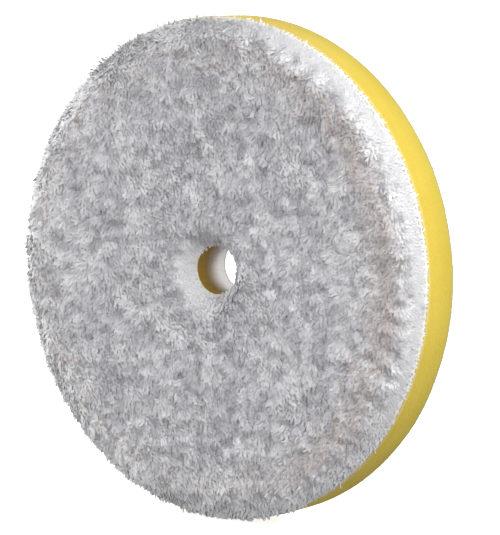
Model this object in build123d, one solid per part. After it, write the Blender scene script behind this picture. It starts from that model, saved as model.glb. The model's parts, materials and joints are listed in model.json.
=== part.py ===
from build123d import *
import os

os.makedirs("parts", exist_ok=True)

# A round polishing pad, bonded from layers and punched with one hole, all in millimetres.
# It stands on its rim: the bore runs along Y, the loop back faces +Y in the plane y = 0,
# and the pile faces -Y. The origin is the centre of the loop face and Z is up.

# The foam disc that carries every other layer.
foam_diameter = 150.0
foam_thickness = 13.0
foam_rear_round = 0.3  # radius of the edge on the loop side

# The hole punched through all the layers in one stroke.
bore_diameter = 15.0

# The loop fabric of the back: a nap of small loops standing on a ground cloth.
loop_nap_height = 0.6
loop_cloth_thickness = 0.3
loop_inset = 0.2  # from the end of the foam's rounding to the edge of the loop fabric

# The glue films on the two faces of the foam.
rear_glue_thickness = 0.1
front_glue_thickness = 0.1

# The face: pile standing on a knitted ground cloth, cut a little smaller than the foam.
knit_inset = 0.5
knit_thickness = 0.6
pile_height = 5.5
pile_edge_height = 0.6  # the upright edge of the pile, next to the ground cloth
pile_bevel_width = 6.0  # the bevel from there up to the face
pile_bevel_round = 4.0  # where the bevel turns over into the face
pile_dish_width = 5.5  # how far the pile leans back from the bore at its top
pile_dish_round = 2.5  # where that slope turns over into the face

# Depths of the joints between layers, counted from the loop face towards the pile.
loop_cloth_back = loop_nap_height
rear_glue_back = loop_cloth_back + loop_cloth_thickness
foam_back = rear_glue_back + rear_glue_thickness
foam_front = foam_back + foam_thickness
knit_back = foam_front + front_glue_thickness
pile_back = knit_back + knit_thickness
pile_front = pile_back + pile_height

bore_radius = bore_diameter / 2
foam_radius = foam_diameter / 2
loop_radius = foam_radius - foam_rear_round - loop_inset
knit_radius = foam_radius - knit_inset


def punched_layer(back, thickness, radius):
    """A flat layer from depth back to back + thickness, with the bore punched through it."""
    middle = Pos(0, -(back + thickness / 2), 0) * Rot(90, 0, 0)
    disc = Cylinder(radius, thickness) - Cylinder(bore_radius, thickness)
    return middle * disc


def loop_nap():
    """The loops that the backing plate's hooks catch, as one layer."""
    return punched_layer(0, loop_nap_height, loop_radius)


def loop_cloth():
    """The ground cloth that the loops are knitted into."""
    return punched_layer(loop_cloth_back, loop_cloth_thickness, loop_radius)


def rear_glue_film():
    """The film that holds the loop fabric on the foam."""
    return punched_layer(rear_glue_back, rear_glue_thickness, loop_radius)


def foam_disc():
    """The foam disc, square at the pile side and rounded at the loop side."""
    disc = punched_layer(foam_back, foam_thickness, foam_radius)
    rims = disc.edges().filter_by(GeomType.CIRCLE)
    rear_edge = rims.filter_by(lambda edge: edge.radius > bore_radius).sort_by(Axis.Y)[-1]
    return fillet(rear_edge, foam_rear_round)


def front_glue_film():
    """The film that holds the knitted cloth on the foam."""
    return punched_layer(foam_front, front_glue_thickness, knit_radius)


def knit_cloth():
    """The knitted ground cloth that the pile is locked into."""
    return punched_layer(knit_back, knit_thickness, knit_radius)


def pile():
    """The pile, dished round the bore and bevelled towards the rim."""
    section = make_face(
        Polyline(
            (bore_radius, -pile_back),
            (bore_radius + pile_dish_width, -pile_front),
            (knit_radius - pile_bevel_width, -pile_front),
            (knit_radius, -(pile_back + pile_edge_height)),
            (knit_radius, -pile_back),
            close=True,
        )
    )
    dish_corner = section.vertices().group_by(Axis.Y)[0].sort_by(Axis.X)[0]
    section = fillet(dish_corner, pile_dish_round)
    bevel_corner = section.vertices().group_by(Axis.Y)[0].sort_by(Axis.X)[-1]
    section = fillet(bevel_corner, pile_bevel_round)
    return revolve(section, Axis.Y)


nodes = {
    "loop_nap": loop_nap(),
    "loop_cloth": loop_cloth(),
    "rear_glue_film": rear_glue_film(),
    "foam_disc": foam_disc(),
    "front_glue_film": front_glue_film(),
    "knit_cloth": knit_cloth(),
    "pile": pile(),
}

for name, shape in nodes.items():
    export_step(shape, f"parts/{name}.step")
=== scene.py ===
import json
import math

import bpy
import numpy as np
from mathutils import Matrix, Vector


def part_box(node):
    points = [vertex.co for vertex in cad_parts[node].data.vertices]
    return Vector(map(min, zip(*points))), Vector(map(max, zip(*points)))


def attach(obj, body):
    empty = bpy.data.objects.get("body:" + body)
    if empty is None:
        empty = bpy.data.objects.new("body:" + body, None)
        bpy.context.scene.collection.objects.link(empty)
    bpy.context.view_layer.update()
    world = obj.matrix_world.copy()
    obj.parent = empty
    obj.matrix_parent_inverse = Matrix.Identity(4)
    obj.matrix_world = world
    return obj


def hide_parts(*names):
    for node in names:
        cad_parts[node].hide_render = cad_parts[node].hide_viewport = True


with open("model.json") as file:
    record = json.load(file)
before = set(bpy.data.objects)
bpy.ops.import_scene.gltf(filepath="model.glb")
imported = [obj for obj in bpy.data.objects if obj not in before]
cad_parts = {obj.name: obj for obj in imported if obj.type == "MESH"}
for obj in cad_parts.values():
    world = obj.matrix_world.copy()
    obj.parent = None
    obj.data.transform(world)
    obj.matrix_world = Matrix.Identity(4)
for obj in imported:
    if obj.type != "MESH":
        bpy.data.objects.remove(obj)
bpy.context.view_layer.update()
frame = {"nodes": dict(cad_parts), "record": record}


# ---- Foam disc ----
# A disc of fine-celled yellow polyurethane foam, die-cut from sheet together with its centre hole.
# Every other layer is glued to one of its two faces, and its rim is the pad's bare yellow edge.
mm = 0.001
foam_low, foam_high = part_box("foam_disc")
foam_radius = foam_high.x
foam_front, foam_rear = foam_low.y, foam_high.y
bore_mount = next(m for m in frame["record"]["mounts"] if m["name"] == "centre_bore")
bore_radius = bore_mount["dims"]["r_mm"] * mm
foam_edge_round = 0.35 * mm
foam_parts = (6, 24, 6, 38)  # points across the rear face, the bore's wall, the front face and the rim
foam_turns = 960
cell_size = 1.0 * mm
cell_depth = 0.10 * mm
cut_wave_size = 14 * mm
cut_wave_depth = 0.12 * mm
rear_shade_band = (1.4 * mm, 0.3 * mm)  # how far from the rear face the painted shade of the rear edge starts, and how far it is full
front_light_band = (1.4 * mm, 0.2 * mm)  # the same for the painted light on the front edge, from the front face
noise_lattice = 32  # lattice steps after which the random numbers repeat
noise_start = 1000.0  # the lattice step at the origin


def washer_section(inner, outer, rear, front, corner, parts):
    """The section of a washer as (radius, y) points. Its corners are quarter circles, and the straight sides
    between them are cut into that many parts: the rear face, the bore's wall, the front face and the rim."""
    centres = [(outer - corner, rear - corner), (inner + corner, rear - corner),
               (inner + corner, front + corner), (outer - corner, front + corner)]
    turn = np.linspace(0, math.pi / 2, 4)
    arcs = []
    for quarter, (x, y) in enumerate(centres):
        angle = turn + quarter * math.pi / 2
        arcs.append(np.stack([x + corner * np.cos(angle), y + corner * np.sin(angle)], 1))
    outline = []
    for arc, following, count in zip(arcs, arcs[1:] + arcs[:1], parts):
        share = np.linspace(0, 1, count, endpoint=False)[1:, None]
        outline += [arc, arc[-1] + (following[0] - arc[-1]) * share]
    return np.vstack(outline)


def turned(section, turns):
    """A grid of points: the section turned round the Y axis, so that x is radius times cosine and z is radius
    times sine."""
    angle = np.linspace(0, 2 * math.pi, turns, endpoint=False)[:, None]
    radius, y = section[:, 0], section[:, 1] + 0 * angle
    return np.stack([radius * np.cos(angle), y, radius * np.sin(angle)], 2)


def outward(grid):
    """The unit normal at each point of a turned grid: the cross product of the differences between its
    neighbours, one way along the section and the other way round the bore."""
    round_bore = np.roll(grid, -1, 0) - np.roll(grid, 1, 0)
    round_section = np.roll(grid, -1, 1) - np.roll(grid, 1, 1)
    normal = np.cross(round_section, round_bore)
    return normal / np.linalg.norm(normal, axis=2, keepdims=True)


def ring_faces(rows, columns):
    """The four-sided faces of a grid that closes on itself both ways."""
    i, j = np.meshgrid(np.arange(rows), np.arange(columns), indexing="ij")
    i2, j2 = (i + 1) % rows, (j + 1) % columns
    corners = [i * columns + j, i * columns + j2, i2 * columns + j2, i2 * columns + j]
    return np.stack(corners, 2).reshape(-1, 4)


def add_piece(name, points, faces, material):
    """A smooth-shaded mesh object at the origin, made from arrays of points and faces."""
    mesh = bpy.data.meshes.new(name)
    mesh.from_pydata(points.reshape(-1, 3), [], faces)
    mesh.shade_smooth()
    mesh.materials.append(material)
    piece = bpy.data.objects.new(name, mesh)
    bpy.context.scene.collection.objects.link(piece)
    return piece


def soft_noise(points, size, seed):
    """Smooth noise from -1 to 1: random numbers on a cubic lattice of that size, blended between the corners
    of each cube by smoothstep weights."""
    table = np.random.default_rng(seed).uniform(-1, 1, (noise_lattice, noise_lattice, noise_lattice))
    at = points / size + noise_start
    cell = np.floor(at).astype(int)
    part = at - cell
    part = part * part * (3 - 2 * part)
    total = 0.0
    for corner in np.ndindex(2, 2, 2):
        weight = np.prod(np.where(corner, part, 1 - part), axis=-1)
        i, j, k = np.moveaxis((cell + corner) % noise_lattice, -1, 0)
        total = total + weight * table[i, j, k]
    return total


def cell_walls(points, size, seed):
    """0 in the middle of each foam cell and 1 on the walls between cells. There is one random point in each
    cube of a lattice, and the value is the distance to the nearest over that to the second nearest."""
    table = np.random.default_rng(seed).uniform(0, 1, (noise_lattice, noise_lattice, noise_lattice, 3))
    at = points / size + noise_start
    cube = np.floor(at).astype(int)
    first = np.full(points.shape[:-1], 9.0)  # farther than any point of the neighbouring cubes
    second = first.copy()
    for step in np.ndindex(3, 3, 3):
        near = cube + np.array(step) - 1
        i, j, k = np.moveaxis(near % noise_lattice, -1, 0)
        away = np.linalg.norm(near + table[i, j, k] - at, axis=-1)
        second = np.minimum(second, np.maximum(first, away))
        first = np.minimum(first, away)
    return first / second


def new_material(name, roughness):
    """A material with one Principled shader of that roughness, and its nodes and links."""
    material = bpy.data.materials.new(name)
    material.use_nodes = True
    tree = material.node_tree
    shader = tree.nodes["Principled BSDF"]
    shader.inputs["Roughness"].default_value = roughness
    return material, tree, shader


def add_node(tree, kind, settings=(), **inputs):
    """A node of that kind, with its own settings, and with numbers set or sockets linked on its inputs. An
    input goes by its name, or by its number as in _6."""
    node = tree.nodes.new(kind)
    for name, value in dict(settings).items():
        setattr(node, name, value)
    for name, value in inputs.items():
        socket = node.inputs[int(name[1:])] if name[1:].isdigit() else node.inputs[name.replace("_", " ")]
        if isinstance(value, bpy.types.NodeSocket):
            tree.links.new(value, socket)
        else:
            socket.default_value = value
    return node


def add_ramp(tree, factor, stops):
    """The colour socket of a ramp with these (place, colour) stops, read at factor."""
    ramp = add_node(tree, "ShaderNodeValToRGB", Fac=factor)
    elements = ramp.color_ramp.elements
    while len(elements) < len(stops):
        elements.new(0.5)
    for element, (place, colour) in zip(elements, stops):
        element.position = place
        element.color = (*colour, 1)
    return ramp.outputs["Color"]


def add_blend(tree, share, under, over, kind="MIX"):
    """The colour socket of over laid on under by that share, mixed in or multiplied on."""
    return add_node(tree, "ShaderNodeMix", {"data_type": "RGBA", "blend_type": kind},
                    _0=share, _6=under, _7=over).outputs[2]


def add_rise(tree, value, start, end, height=1.0):
    """A number that goes evenly from 0 to height as value goes from start to end, and is level beyond."""
    return add_node(tree, "ShaderNodeMapRange", Value=value, From_Min=start, From_Max=end,
                    To_Max=height).outputs[0]


def add_relief(tree, shader, height, strength, distance):
    """Fine relief on the shader, as if the surface stood out by height times distance."""
    bump = add_node(tree, "ShaderNodeBump", Height=height, Strength=strength, Distance=distance)
    tree.links.new(bump.outputs[0], shader.inputs["Normal"])


def bore_painted_shading(tree, place, colour):
    """That colour everywhere but on the bore's wall, which is painted with light and shade: brown near the
    front, painted shade where little light reaches its yellow foam, and pale towards the loop fabric,
    painted light where light comes in through the bore's rear mouth."""
    apart = add_node(tree, "ShaderNodeSeparateXYZ", Vector=place)
    flat = add_node(tree, "ShaderNodeCombineXYZ", X=apart.outputs["X"], Y=apart.outputs["Z"]).outputs[0]
    radius = add_node(tree, "ShaderNodeVectorMath", {"operation": "LENGTH"}, _0=flat).outputs["Value"]
    depth = add_rise(tree, apart.outputs["Y"], foam_front, foam_rear)
    # Painted shade near the front of the bore's wall, painted light towards its back.
    wall = add_ramp(tree, depth, [(0.0, (0.40, 0.24, 0.02)), (0.30, (0.36, 0.23, 0.05)),
                                  (0.48, (0.50, 0.42, 0.35)), (0.80, (1.0, 0.99, 0.98))])
    in_bore = add_node(tree, "ShaderNodeMath", {"operation": "LESS_THAN"}, _0=radius, _1=1.1 * bore_radius)
    return add_blend(tree, in_bore.outputs[0], colour, wall)


def foam_finish():
    """Matt yellow foam: a slow drift between two yellows, and darker pores. It greys a little towards the
    back, and most in the last millimetre, where a dark olive line is painted shade: the shade of the rim's
    rear edge as it rounds off towards the loop fabric. Its front edge is paled, painted light that lifts
    the shade under the overhanging pile."""
    material, tree, shader = new_material("yellow_foam", 0.85)
    place = add_node(tree, "ShaderNodeTexCoord").outputs["Object"]
    drift = add_node(tree, "ShaderNodeTexNoise", Vector=place, Scale=60, Detail=3).outputs["Fac"]
    yellow = add_ramp(tree, drift, [(0.35, (0.69, 0.507, 0.050)), (0.65, (0.73, 0.550, 0.068))])
    pores = add_node(tree, "ShaderNodeTexVoronoi", Vector=place, Scale=1800).outputs["Distance"]
    pore_tint = add_ramp(tree, pores, [(0.0, (0.86, 0.84, 0.78)), (0.45, (1, 1, 1))])
    foam = add_blend(tree, 1.0, yellow, pore_tint, "MULTIPLY")
    y = add_node(tree, "ShaderNodeSeparateXYZ", Vector=place).outputs["Y"]
    depth = add_rise(tree, y, foam_front, foam_rear)
    rear_greying = add_ramp(tree, depth, [(0.0, (1, 1, 1)), (0.4, (0.99, 0.99, 0.96)), (0.92, (0.83, 0.85, 0.84))])
    foam = add_blend(tree, 1.0, foam, rear_greying, "MULTIPLY")
    # Painted shade: a dark olive line along the rear edge, where the rim rounds off.
    rear_edge_shade = add_rise(tree, y, foam_rear - rear_shade_band[0], foam_rear - rear_shade_band[1])
    foam = add_blend(tree, rear_edge_shade, foam, (0.40, 0.39, 0.18, 1))
    # Painted light: the front edge is paled where the overhanging pile shades it.
    front_edge_light = add_rise(tree, y, foam_front + front_light_band[0], foam_front + front_light_band[1], height=0.3)
    foam = add_blend(tree, front_edge_light, foam, (0.92, 0.88, 0.66, 1))
    # The bore's wall takes painted shade at the front and painted light towards the back.
    tree.links.new(bore_painted_shading(tree, place, foam), shader.inputs["Base Color"])
    add_relief(tree, shader, pores, 0.35, 0.1 * mm)
    return material


foam_section = washer_section(bore_radius, foam_radius, foam_rear, foam_front, foam_edge_round, foam_parts)
foam_grid = turned(foam_section, foam_turns)
foam_sink = cell_depth * (cell_walls(foam_grid, cell_size, 3) ** 2 - 1)
foam_sink = foam_sink + cut_wave_depth * np.minimum(0, soft_noise(foam_grid, cut_wave_size, 4))
foam_grid = foam_grid + outward(foam_grid) * foam_sink[..., None]
foam = add_piece("foam_disc_cells", foam_grid, ring_faces(*foam_grid.shape[:2]), foam_finish())
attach(foam, "root")
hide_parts("foam_disc")


# ---- Glue films ----
# Hot-melt films, a tenth of a millimetre thick, that bond the foam to the loop fabric behind it and to the
# knitted cloth in front. Only their cut edges show, as pale amber lines.
def glue_finish():
    """Dried hot-melt: amber, darker in patches where it soaked into the cloth, and slightly glossy."""
    material, tree, shader = new_material("hot_melt_glue", 0.45)
    place = add_node(tree, "ShaderNodeTexCoord").outputs["Object"]
    patches = add_node(tree, "ShaderNodeTexNoise", Vector=place, Scale=700, Detail=2).outputs["Fac"]
    amber = add_ramp(tree, patches, [(0.3, (0.90, 0.76, 0.42)), (0.7, (0.95, 0.87, 0.62))])
    # The bore's wall takes painted shade at the front and painted light towards the back.
    tree.links.new(bore_painted_shading(tree, place, amber), shader.inputs["Base Color"])
    return material


hot_melt = glue_finish()
for film in ("rear_glue_film", "front_glue_film"):
    frame["nodes"][film].data.materials.clear()
    frame["nodes"][film].data.materials.append(hot_melt)


# ---- Loop fabric of the back ----
# A warp-knitted nylon fabric glued over the whole back. Its ground cloth carries lines of fine wales.
# The machine's hooked backing plate grips the loops that stand on it.
cloth_low, cloth_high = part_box("loop_cloth")
nap_low, nap_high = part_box("loop_nap")
loop_radius = nap_high.x
wale_pitch = 1.25 * mm
wale_depth = 0.06 * mm
cloth_edge_round = 0.1 * mm
cloth_parts = (110, 2, 3, 2)
cloth_turns = 640


def loop_cloth_finish():
    """Grey-white nylon knit: narrow dark lines between the wales and fine cross stitches along them."""
    material, tree, shader = new_material("loop_ground_cloth", 0.8)
    place = add_node(tree, "ShaderNodeTexCoord").outputs["Object"]
    wales = add_node(tree, "ShaderNodeTexWave", {"bands_direction": "X", "wave_profile": "SIN"},
                     Vector=place, Scale=math.pi / (10 * wale_pitch), Distortion=0.6, Detail_Scale=2.0)
    stitches = add_node(tree, "ShaderNodeTexWave", {"bands_direction": "Z", "wave_profile": "SIN"},
                        Vector=place, Scale=math.pi / (5 * wale_pitch), Distortion=1.5, Detail_Scale=3.0)
    weave = add_node(tree, "ShaderNodeMath", {"operation": "MULTIPLY"},
                     _0=wales.outputs["Fac"], _1=stitches.outputs["Fac"]).outputs[0]
    grey = add_ramp(tree, weave, [(0.0, (0.46, 0.46, 0.45)), (0.5, (0.72, 0.72, 0.71)),
                                  (1.0, (0.84, 0.84, 0.83))])
    tree.links.new(grey, shader.inputs["Base Color"])
    add_relief(tree, shader, weave, 0.6, 0.2 * mm)
    shader.inputs["Sheen Weight"].default_value = 0.3
    return material


cloth_section = washer_section(
    bore_radius, loop_radius, cloth_high.y, cloth_low.y, cloth_edge_round, cloth_parts)
cloth_grid = turned(cloth_section, cloth_turns)
ribs = wale_depth * (np.abs(np.sin(math.pi * cloth_grid[..., 0] / wale_pitch)) - 1)
on_back = cloth_grid[..., 1] > cloth_high.y - 0.02 * mm  # its flat rear face, and not its rounded edges
cloth_grid[..., 1] += np.where(on_back, ribs, 0)
cloth_faces = ring_faces(*cloth_grid.shape[:2])
loop_cloth = add_piece("loop_ground_cloth", cloth_grid, cloth_faces, loop_cloth_finish())
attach(loop_cloth, "root")
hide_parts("loop_cloth")

loop_spacing = 1.12 * mm
loop_thread = 0.10 * mm  # radius of the few filaments that make one loop
loop_rings = 6
loop_margin = 0.6 * mm  # bare cloth beside the bore and the rim
loop_span = (0.45, 0.85)  # half the distance between a loop's feet, in millimetres
loop_push = 0.35  # how far a loop is pushed over sideways, in millimetres


def scattered(inner, outer, spacing):
    """Points spread evenly over a ring as seeds are in a sunflower head: the squared radius grows evenly from
    one point to the next and the angle grows by the golden angle. Returns radius and angle."""
    count = int(math.pi * (outer**2 - inner**2) / spacing**2)
    k = np.arange(count) + 0.5
    radius = np.sqrt(inner**2 + (outer**2 - inner**2) * k / count)
    return radius, k * math.pi * (3 - math.sqrt(5))


def unit(vectors):
    """The vectors at length one."""
    return vectors / np.linalg.norm(vectors, axis=-1, keepdims=True)


def strands(paths, widths, side, thickness):
    """Closed three-sided tubes round many paths at once. paths is (strand, ring, 3), widths is half the
    tube's width at each ring and side is the vector that its ridge faces. A ring has a corner on either side
    of the path and one above it, and thickness is the tube's height over its width. Returns the points, the
    side faces and the end faces."""
    along = unit(np.gradient(paths, axis=1))
    across = unit(np.cross(along, side[:, None]))
    up = np.cross(across, along)
    corners_across = np.array([[1], [-1], [0]])
    corners_up = np.array([[-1], [-1], [1]])
    ring = across[:, :, None] * corners_across + up[:, :, None] * corners_up * thickness
    points = paths[:, :, None] + widths[..., None, None] * ring
    count, rings = paths.shape[:2]
    i, k = np.meshgrid(np.arange(rings - 1), np.arange(3), indexing="ij")
    k2 = (k + 1) % 3
    sides = np.stack([3 * i + k, 3 * i + k2, 3 * (i + 1) + k2, 3 * (i + 1) + k], 2).reshape(-1, 4)
    first = 3 * rings * np.arange(count)[:, None, None]
    last = 3 * (rings - 1)
    ends = np.array([[2, 1, 0], [last, last + 1, last + 2]])
    return points, (first + sides).reshape(-1, 4), (first + ends).reshape(-1, 3)


def add_strands(name, paths, widths, side, thickness, tone, material):
    """A piece of many strands. Its map sets each strand's tone across and the share of its length upwards,
    on a strip narrow enough to hold one tone."""
    points, sides, ends = strands(paths, widths, side, thickness)
    piece = add_piece(name, points, sides.tolist() + ends.tolist(), material)
    count, rings = paths.shape[:2]
    strip_step = 0.004
    u = np.broadcast_to(tone[:, None, None] + np.arange(3) * strip_step, (count, rings, 3))
    v = np.broadcast_to(np.linspace(0.01, 0.99, rings)[:, None], (count, rings, 3))
    layer = piece.data.uv_layers.new(name="OFBake")
    corner = np.concatenate([sides.ravel(), ends.ravel()])
    layer.uv.foreach_set("vector", np.stack([u.ravel(), v.ravel()], 1)[corner].astype(np.float32).ravel())
    return piece


def strand_finish(name, tones, root_shade, roughness, sheen):
    """A matt fibre: the map's first number picks its tone, and its second lightens it from root to tip, from
    root_shade, painted shade deep among the fibres, to the full tone.
    """
    material, tree, shader = new_material(name, roughness)
    own_map = add_node(tree, "ShaderNodeUVMap", {"uv_map": "OFBake"}).outputs[0]
    apart = add_node(tree, "ShaderNodeSeparateXYZ", Vector=own_map)
    tone = add_ramp(tree, apart.outputs["X"], tones)
    # Painted shade: the strand is darker towards its root.
    shade = add_ramp(tree, apart.outputs["Y"], [(0.0, root_shade), (0.55, (1, 1, 1))])
    colour = add_blend(tree, 1.0, tone, shade, "MULTIPLY")
    tree.links.new(colour, shader.inputs["Base Color"])
    shader.inputs["Sheen Weight"].default_value = sheen
    shader.inputs["Sheen Roughness"].default_value = 0.5
    return material


def nap_loops(radius, angle, rng):
    """Arched loops on the back: each is half an ellipse from one foot to the other, pushed over sideways by
    the squared sine, with its feet along a wale and its top at the fabric's face. Returns paths, widths and
    side vectors."""
    count = len(radius)
    foot = np.stack([radius * np.cos(angle), np.zeros(count), radius * np.sin(angle)], 1)
    foot += rng.normal(0, 0.16 * loop_spacing, (count, 3)) * (1, 0, 1)
    heading = rng.normal(math.pi / 2, 0.65, count)
    along = np.stack([np.cos(heading), 0 * heading, np.sin(heading)], 1)
    sideways = np.stack([-np.sin(heading), 0 * heading, np.cos(heading)], 1)
    turn = np.linspace(0, math.pi, loop_rings)[:, None]
    span = rng.uniform(*loop_span, (count, 1, 1)) * mm
    push = rng.normal(0, loop_push, (count, 1, 1)) * mm
    rise = (nap_high.y - nap_low.y - loop_thread) * rng.uniform(0.75, 1.0, (count, 1, 1))
    sunk = 0.05 * mm  # the feet start inside the cloth
    paths = (foot[:, None] - along[:, None] * span * np.cos(turn)
             + sideways[:, None] * push * np.sin(turn) ** 2
             + np.array([0, 1, 0]) * (nap_low.y - sunk + rise * np.sin(turn)))
    return paths, np.full((count, loop_rings), loop_thread), sideways


loop_fibre = strand_finish(
    "loop_nylon", [(0.0, (0.62, 0.62, 0.61)), (0.5, (0.82, 0.82, 0.81)), (1.0, (0.93, 0.93, 0.92))],
    (0.8, 0.8, 0.8), 0.55, 0.3)
nap_rng = np.random.default_rng(21)
nap_radius, nap_angle = scattered(bore_radius + loop_margin, loop_radius - loop_margin, loop_spacing)
nap_paths, nap_widths, nap_side = nap_loops(nap_radius, nap_angle, nap_rng)
nap_tone = nap_rng.beta(2.5, 2.5, len(nap_radius)) * 0.98
nap_parts = 3
for part, held in enumerate(np.array_split(np.arange(len(nap_radius)), nap_parts)):
    nap = add_strands(f"loop_nap_{part + 1}", nap_paths[held], nap_widths[held], nap_side[held], 0.85,
                      nap_tone[held], loop_fibre)
    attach(nap, "root")
    if part == 0:
        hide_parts("loop_nap")


# ---- Knitted ground cloth of the face ----
# A cream knitted cloth that the pile is locked into, soaked with latex behind so that no fibre pulls out.
# It is glued to the foam, and only its cut edge shows, as a row of stitches just in from the rim.
knit_low, knit_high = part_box("knit_cloth")
knit_radius = knit_high.x
knit_edge_round = 0.2 * mm
knit_parts = (3, 2, 3, 3)
stitch_count = 420
stitch_depth = 0.16 * mm
stitch_reach = 0.15 * mm  # how far the stitches bulge past the cut, on average
knit_turns = 4 * stitch_count


def knit_finish():
    """Cream latex-soaked knit: yarns run across in rows, with darker gaps between them."""
    material, tree, shader = new_material("cream_knit", 0.75)
    place = add_node(tree, "ShaderNodeTexCoord").outputs["Object"]
    yarns = add_node(tree, "ShaderNodeTexNoise", Vector=place, Scale=1600, Detail=2).outputs["Fac"]
    cream = add_ramp(tree, yarns, [(0.3, (0.89, 0.84, 0.68)), (0.7, (0.95, 0.91, 0.80))])
    tree.links.new(cream, shader.inputs["Base Color"])
    add_relief(tree, shader, yarns, 0.5, 0.1 * mm)
    return material


knit_section = washer_section(bore_radius, knit_radius, knit_high.y, knit_low.y, knit_edge_round, knit_parts)
knit_grid = turned(knit_section, knit_turns)
knit_angle = np.linspace(0, 2 * math.pi, knit_turns, endpoint=False)[:, None]
at_edge = np.linalg.norm(knit_grid[..., [0, 2]], axis=2) > knit_radius - 0.3 * mm
scallop = np.where(at_edge, stitch_reach + stitch_depth * np.cos(stitch_count * knit_angle) / 2, 0)
knit_grid = knit_grid + outward(knit_grid) * scallop[..., None]
knit = add_piece("knit_ground_cloth", knit_grid, ring_faces(*knit_grid.shape[:2]), knit_finish())
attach(knit, "root")
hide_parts("knit_cloth")


# ---- Pile ----
# Short curled microfibre strands, knitted into the ground cloth and sheared to one height. They stand so
# close that only their tips show. The bed is their packed lower half, with the hollows that handling
# presses into it.
pile_low, pile_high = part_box("pile")
pile_front, pile_rear = pile_low.y, pile_high.y
pile_radius = pile_high.x
bevel_width = 6.0 * mm
edge_height = 0.6 * mm
dish_width = 5.5 * mm
corner_cuts = (2.5 * mm, 2.5 * mm, 0.5 * mm)  # how far from each corner its round starts
dish_depth = 0.5 * mm  # from the tips of the strands down to the bed, on the slope round the bore
face_depth = 0.85 * mm
bevel_depth = 0.45 * mm
depth_radii = (bore_radius + 3 * mm, bore_radius + 9 * mm, pile_radius - 8 * mm, pile_radius)
bed_parts = 140
bed_turns = 520
hollow_depth = 0.6 * mm
lump_depth = 0.55 * mm
ripple_depth = 0.22 * mm


def pile_section(count):
    """The bed's outline from the bore's mouth to the rim, with its outward normals: up the sloping dish,
    across the face, down the bevel and along the low upright edge. At each corner a quadratic curve joins
    the two sides. The strands' tips lie on that outline and the bed under it, by a depth that changes evenly
    from one of depth_radii to the next."""
    corners = np.array([[bore_radius, pile_rear], [bore_radius + dish_width, pile_front],
                        [pile_radius - bevel_width, pile_front], [pile_radius, pile_rear - edge_height],
                        [pile_radius, pile_rear]])
    share = np.linspace(0, 1, 9)[:, None]
    sides = [corners[:1]]
    for before, corner, after, cut in zip(corners, corners[1:], corners[2:], corner_cuts):
        start = corner + cut * unit(before - corner)
        end = corner + cut * unit(after - corner)
        sides.append((1 - share)**2 * start + 2 * share * (1 - share) * corner + share**2 * end)
    outline = np.vstack(sides + [corners[-1:]])
    run = np.concatenate([[0], np.cumsum(np.linalg.norm(np.diff(outline, axis=0), axis=1))])
    at = np.linspace(0, run[-1], count)
    points = np.stack([np.interp(at, run, outline[:, k]) for k in (0, 1)], 1)
    normals = unit(np.gradient(points, axis=0)[:, ::-1] * (1, -1))
    depth = np.interp(points[:, 0], depth_radii, [dish_depth, face_depth, face_depth, bevel_depth])
    return np.minimum(points - depth[:, None] * normals, [pile_radius, pile_rear]), normals


def hollows(points):
    """How far the pile is pressed in, in metres: broad soft hollows with finer lumps and ripples on them. It
    fades out in the dish round the bore and down the bevel."""
    broad = soft_noise(points, 13 * mm, 11) + 0.8 * soft_noise(points * (1.6, 1, 0.7), 5 * mm, 12)
    fine = lump_depth * soft_noise(points, 3.0 * mm, 13) + ripple_depth * soft_noise(points, 1.7 * mm, 18)
    from_bore = np.linalg.norm(points[..., [0, 2]], axis=-1) - bore_radius
    past_dish = np.clip((from_bore - 2 * mm) / (5 * mm), 0, 1)
    above_edge = np.clip((pile_rear - 1.2 * mm - points[..., 1]) / (2 * mm), 0, 1)
    return past_dish * above_edge * (hollow_depth * broad + fine)


def bed_finish():
    """The shaded depth of the pile: grey, with darker pits between the tufts."""
    material, tree, shader = new_material("pile_depth", 0.9)
    place = add_node(tree, "ShaderNodeTexCoord").outputs["Object"]
    tufts = add_node(tree, "ShaderNodeTexNoise", Vector=place, Scale=900, Detail=3).outputs["Fac"]
    grey = add_ramp(tree, tufts, [(0.3, (0.80, 0.80, 0.82)), (0.7, (0.93, 0.93, 0.94))])
    tree.links.new(grey, shader.inputs["Base Color"])
    add_relief(tree, shader, tufts, 0.7, 0.4 * mm)
    return material


bed_outline = pile_section(bed_parts)[0]
bed_outline = np.vstack([bed_outline, [[bed_outline[-1, 0], pile_rear], [bed_outline[0, 0], pile_rear]]])
bed_grid = turned(np.maximum(bed_outline, [bore_radius, -1]), bed_turns)
bed_grid[..., 1] += hollows(bed_grid)
bed = add_piece("pile_bed", bed_grid, ring_faces(*bed_grid.shape[:2]), bed_finish())
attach(bed, "root")
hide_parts("pile")

strand_spacing = 0.68 * mm
strand_rings = 4
strand_length = 1.6 * mm
strand_half_width = 0.46 * mm
strand_taper = np.array([0.8, 1.0, 0.95, 0.4])  # of the half width, from root to tip
lump_share = 2.1  # how strongly the hollows tilt the pile's shading


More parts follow.
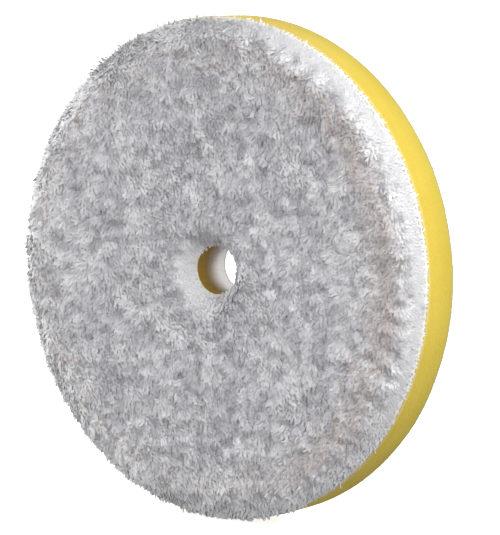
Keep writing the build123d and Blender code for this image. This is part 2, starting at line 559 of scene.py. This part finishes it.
def pile_roots(spacing, rng):
    """Places on the bed, evenly spread over its area: the running sum of the outline's length times its
    radius is shared out evenly, and the angle grows by the golden angle. Returns points and normals."""
    outline, normals = pile_section(400)
    share = np.concatenate([[0], np.cumsum(np.linalg.norm(np.diff(outline, axis=0), axis=1)
                                           * (outline[1:, 0] + outline[:-1, 0]) / 2)])
    count = int(2 * math.pi * share[-1] / spacing**2)
    at = (np.arange(count) + 0.5) / count * share[-1]
    radius, y = (np.interp(at, share, outline[:, k]) for k in (0, 1))
    normal = unit(np.stack([np.interp(at, share, normals[:, k]) for k in (0, 1)], 1))
    angle = np.arange(count) * math.pi * (3 - math.sqrt(5)) + rng.normal(0, 0.3 * spacing, count) / radius
    cosine, sine = np.cos(angle), np.sin(angle)
    points = np.stack([radius * cosine, y, radius * sine], 1)
    normals = np.stack([normal[:, 0] * cosine, normal[:, 1], normal[:, 0] * sine], 1)
    return points, normals


def lumpy(points, normals):
    """The normals of the pressed pile: hollows() rises along x and z by these slopes, and each normal is
    tilted by lump_share of them."""
    step = 0.4 * mm
    slopes = np.zeros(points.shape)
    for axis in (0, 2):
        shift = step * np.eye(3)[axis]
        slopes[:, axis] = (hollows(points + shift) - hollows(points - shift)) / (2 * step)
    return unit(normals + lump_share * slopes)


def curls(roots, normals, length, first_lean, last_lean, combed, heading, curl):
    """Curled strands: each starts near its normal, leans over by an angle that grows along it, and the way it
    leans turns by curl from root to tip. The path is the running sum of that direction. heading is measured
    in the surface from the way that combed fibres lie."""
    s = np.linspace(0, 1, strand_rings)
    lean = first_lean[:, None] + (last_lean - first_lean)[:, None] * s**0.8
    way = heading[:, None] + curl[:, None] * (s - 0.3)
    e1 = unit(combed - normals * np.sum(normals * combed, axis=1)[:, None])
    e2 = np.cross(normals, e1)
    step = (normals[:, None] * np.cos(lean)[..., None]
            + e1[:, None] * (np.sin(lean) * np.cos(way))[..., None]
            + e2[:, None] * (np.sin(lean) * np.sin(way))[..., None])
    run = np.cumsum(step, axis=1) - step
    return roots[:, None] + run * (length / (strand_rings - 1))[:, None, None]


def soften(piece, normals, share):
    """Loose fuzz shades like the pile as a whole: each point's shading normal is its own one plus that share
    of the pile's."""
    own = np.empty((len(piece.data.vertices), 3), np.float32)
    piece.data.vertices.foreach_get("normal", own.ravel())
    pile = np.repeat(normals * share[:, None], len(own) // len(normals), axis=0)
    piece.data.normals_split_custom_set_from_vertices(unit(own + pile))


microfibre = strand_finish(
    "pile_microfibre",
    [(0.0, (0.55, 0.538, 0.57)), (0.35, (0.73, 0.718, 0.75)), (0.75, (0.985, 0.98, 0.99)),
     (0.80, (0.86, 0.80, 0.78)), (1.0, (0.66, 0.58, 0.55))],
    (0.90, 0.90, 0.91), 0.8, 0.4)
pile_rng = np.random.default_rng(7)
roots, root_normals = pile_roots(strand_spacing, pile_rng)
count = len(roots)
root_radius = np.linalg.norm(roots[:, [0, 2]], axis=1)
root_angle = np.arctan2(roots[:, 2], roots[:, 0])
fuzz_normals = lumpy(roots, root_normals)
roots[:, 1] += hollows(roots)


def near_angle(middle, reach):
    """1 round that angle of the pad and 0 beyond reach of it, with an even fall over the last 20 degrees."""
    away = np.abs((np.degrees(root_angle) - middle + 180) % 360 - 180)
    return np.clip((reach - away) / 20, 0, 1)


# On one side of the rim, and in the dish on the other side, a hand has stroked the pile flat. Round the rest
# of the rim its tufts stand out over the edge. These two sides face the key light, and their strands are
# painted paler there as painted light.
rim = np.clip((root_radius - (pile_radius - bevel_width)) / (0.6 * bevel_width), 0, 1)
smooth_rim = rim * near_angle(20, 65)
dish = np.clip((bore_radius + dish_width + 1 * mm - root_radius) / (3 * mm), 0, 1)
smooth_dish = dish * near_angle(205, 80)
# Painted light: the strands of both smooth sides are painted paler.
painted_lit_sides = np.maximum(smooth_rim, smooth_dish)
rough_rim = rim - smooth_rim
last_row = smooth_rim * (root_radius > pile_radius - 0.7 * mm)  # it lies over the cloth's edge
tuft = soft_noise(roots, 1.9 * mm, 16)
downward = np.clip(-roots[:, 2] / pile_radius, 0, 1)
fuzz_normals[:, 1] -= (0.7 + 2.5 * downward) * rough_rim  # upright tufts shade more like the face
fuzz_normals = unit(fuzz_normals)
fuzz_share = 4.0 + 5.5 * smooth_rim + 2.0 * smooth_dish + 1.0 * rough_rim

# Each strand's size, and the way it lies: down the face, and towards the back over the rim's smooth side.
grown = 1 - 0.5 * smooth_rim - 0.4 * smooth_dish - 0.1 * rough_rim  # share of the full length and width
stray = pile_rng.random(count) < 0.10  # the few that stand up out of the pile
uneven = pile_rng.uniform(-0.25, 0.3, count)
length = strand_length * grown * (1 + (0.2 + 0.3 * rough_rim) * tuft + uneven + 0.3 * stray)
length += 0.8 * mm * last_row
heading = (1.1 * soft_noise(roots, 16 * mm, 14) + 0.9 * soft_noise(roots, 2.5 * mm, 17)
           + pile_rng.normal(0, 0.4, count))
upright = 0.4 * stray + 0.35 * rough_rim
face_way = np.array([0.35, 0, -1])
rim_way = np.array([0, 1.5, 0])
combed = face_way * (1 - smooth_rim[:, None]) + rim_way * smooth_rim[:, None]
first_lean = pile_rng.uniform(0.8, 1.1, count) - 0.7 * upright
last_lean = pile_rng.uniform(1.4, 2.0, count) - 2 * upright
curl = pile_rng.normal(0, 1.5, count)
heading = heading * (1 - 0.5 * smooth_rim)
paths = curls(roots, root_normals, length, first_lean, last_lean, combed, heading, curl)
paths[..., 2] = np.maximum(paths[..., 2], foam_low.z + 0.2 * mm)  # none pokes through the floor
widest = strand_half_width * grown * pile_rng.uniform(0.75, 1.15, count)
widest = widest * (1 - 0.5 * stray) * (1 + 1.1 * last_row)
ridge_side = unit(root_normals + pile_rng.normal(0, 0.15, (count, 3)))

# Its tone: drifting at random, and paler as painted light on the smooth sides that face the key light, on the
# rough rim, on the outer band of the left side and on one streak, and as a painted highlight where tufts and
# stray strands stand proud. In a band where the face turns over into the rim, most on the right, some strands
# take one of the last, pinkish-brown tones.
tone = (0.43 + 0.45 * painted_lit_sides + 0.4 * rough_rim + 0.33 * tuft
        + 0.28 * soft_noise(roots * (1.5, 1, 0.7), 5 * mm, 15) + pile_rng.normal(0, 0.05, count))
# Painted light: the outer band of the left side is painted paler.
tone += 0.3 * near_angle(205, 85) * np.clip((root_radius - 58 * mm) / (9 * mm), 0, 1)
# Painted highlight: one streak on the left of the face is painted paler, as if a ridge caught the key light.
along_lit_streak = roots[:, 0] + 57 * mm
beside_lit_streak = roots[:, 2] - 1 * mm + 0.39 * along_lit_streak
lit_streak = np.exp(-(along_lit_streak / (9 * mm))**2 - (beside_lit_streak / (3 * mm))**2)
# Painted highlight: stray strands that stand up out of the pile are painted paler.
tone = np.clip(tone + 0.3 * lit_streak + 0.15 * stray, 0.0, 0.74)
# A band where the face turns into the rim, most on the right, where some strands take pinkish-brown tones.
turn_radius = 66 * mm
turn_reach = np.where(root_radius < turn_radius, 7 * mm, 3 * mm)
warm = 0.2 + 0.8 * np.clip(roots[:, 0] / pile_radius, 0, 1)
warm = warm * np.exp(-((root_radius - turn_radius) / turn_reach) ** 2)
tone = np.where(pile_rng.random(count) < warm, pile_rng.uniform(0.84, 1.0, count), tone)
pile_parts = 8
for part, held in enumerate(np.array_split(np.arange(count), pile_parts)):
    fibres = add_strands(f"pile_fibres_{part + 1}", paths[held], widest[held, None] * strand_taper,
                         ridge_side[held], 0.3, tone[held], microfibre)
    soften(fibres, fuzz_normals[held], fuzz_share[held])
    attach(fibres, "root")


# ---- Studio ----
# A pale floor that curves up into a low white wall, in a room that is brighter overhead. Large soft lights
# stand up to the right and low on the left, and small ones in front, behind to the right for the rim, and
# behind for the loop fabric. The floor throws no light on the pad.
floor_height = foam_low.z
sweep_turns = 96
bend_start = 1.9
bend_round = 0.2
wall_top = 0.5


def stage_finish():
    """White sweep: plain matt floor that glows a little more towards the wall, so that no horizon shows."""
    material, tree, shader = new_material("white_sweep", 0.9)
    place = add_node(tree, "ShaderNodeTexCoord").outputs["Object"]
    away = add_node(tree, "ShaderNodeVectorMath", {"operation": "LENGTH"}, _0=place).outputs["Value"]
    glow = add_node(tree, "ShaderNodeMapRange", Value=away, From_Min=0.3, From_Max=1.6,
                    To_Min=0.8, To_Max=1.0)
    shader.inputs["Base Color"].default_value = (0.85, 0.85, 0.86, 1)
    shader.inputs["Specular IOR Level"].default_value = 0.0
    shader.inputs["Emission Color"].default_value = (1, 1, 1, 1)
    tree.links.new(glow.outputs[0], shader.inputs["Emission Strength"])
    return material


flat_steps = np.stack([np.linspace(0.2, 1.7, 8), np.zeros(8)], 1)
bend_turn = np.linspace(-math.pi / 2, 0, 9)
bend_steps = np.stack([bend_start + bend_round * np.cos(bend_turn),
                       bend_round + bend_round * np.sin(bend_turn)], 1)
sweep_outline = np.vstack([[0.001, 0], flat_steps, bend_steps, [bend_start + bend_round, wall_top]])
sweep_angle = np.linspace(0, 2 * math.pi, sweep_turns, endpoint=False)[:, None]
sweep_grid = np.stack([sweep_outline[:, 0] * np.cos(sweep_angle), sweep_outline[:, 0] * np.sin(sweep_angle),
                       floor_height + sweep_outline[:, 1] + 0 * sweep_angle], 2)
sweep_faces = ring_faces(*sweep_grid.shape[:2]).reshape(sweep_turns, -1, 4)
sweep_faces = sweep_faces[:, :-1].reshape(-1, 4)  # all but those that join the wall's top to the middle
sweep = add_piece("studio_sweep", sweep_grid, sweep_faces, stage_finish())
sweep.visible_diffuse = False


def facing(way):
    """The turn that makes a lamp or camera look along that vector: up from straight down by one angle, and
    then round the Z axis."""
    return math.atan2(math.hypot(way[0], way[1]), -way[2]), 0, math.atan2(way[1], way[0]) - math.pi / 2


def soft_light(name, place, size, power):
    """A square area light of that size, aimed at the pad's middle."""
    light = bpy.data.lights.new(name, "AREA")
    light.size = size
    light.energy = power
    lamp = bpy.data.objects.new(name, light)
    bpy.context.scene.collection.objects.link(lamp)
    lamp.location = place
    lamp.rotation_euler = facing(-np.array(place))


soft_light("key_light", (0.90, -0.33, 0.53), 1.1, 10.9)
soft_light("front_light", (0.1, -1.3, 0.0), 0.5, 2.9)
soft_light("left_light", (-1.2, -0.14, 0.10), 0.9, 20.0)
soft_light("back_light", (0.92, 0.52, 0.60), 0.3, 5.0)
soft_light("rear_light", (-0.5, 1.2, 0.5), 0.5, 6.0)
world = bpy.data.worlds.new("studio")
world.use_nodes = True
room = world.node_tree
room_way = add_node(room, "ShaderNodeTexCoord").outputs["Generated"]
upward = add_node(room, "ShaderNodeSeparateXYZ", Vector=room_way).outputs["Z"]
glow = add_node(room, "ShaderNodeMapRange", Value=upward, From_Min=-1.0, To_Min=0.15, To_Max=0.36).outputs[0]
room.links.new(glow, room.nodes["Background"].inputs["Strength"])
room.nodes["Background"].inputs["Color"].default_value = (0.97, 0.98, 1.0, 1)
bpy.context.scene.world = world
bpy.context.scene.view_settings.view_transform = "Standard"

# The camera stands 0.8 m from the middle of the loop face, on the pile's side, to the right and a bit above.
camera_distance = 0.8
azimuth, elevation = math.radians(37.44), math.radians(6.16)
back = np.array([math.sin(azimuth) * math.cos(elevation), -math.cos(azimuth) * math.cos(elevation),
                 math.sin(elevation)])
right = np.array([math.cos(azimuth), math.sin(azimuth), 0])
aim_right = 1.1 * mm
aim_down = 0.71 * mm
target = right * aim_right - np.cross(back, right) * aim_down
lens_data = bpy.data.cameras.new("camera")
lens_data.lens = 178.7
lens_data.sensor_width = 36
lens_data.clip_start = 0.05
camera = bpy.data.objects.new("camera", lens_data)
bpy.context.scene.collection.objects.link(camera)
camera.location = back * camera_distance
camera.rotation_euler = facing(target - back * camera_distance)
bpy.context.scene.camera = camera
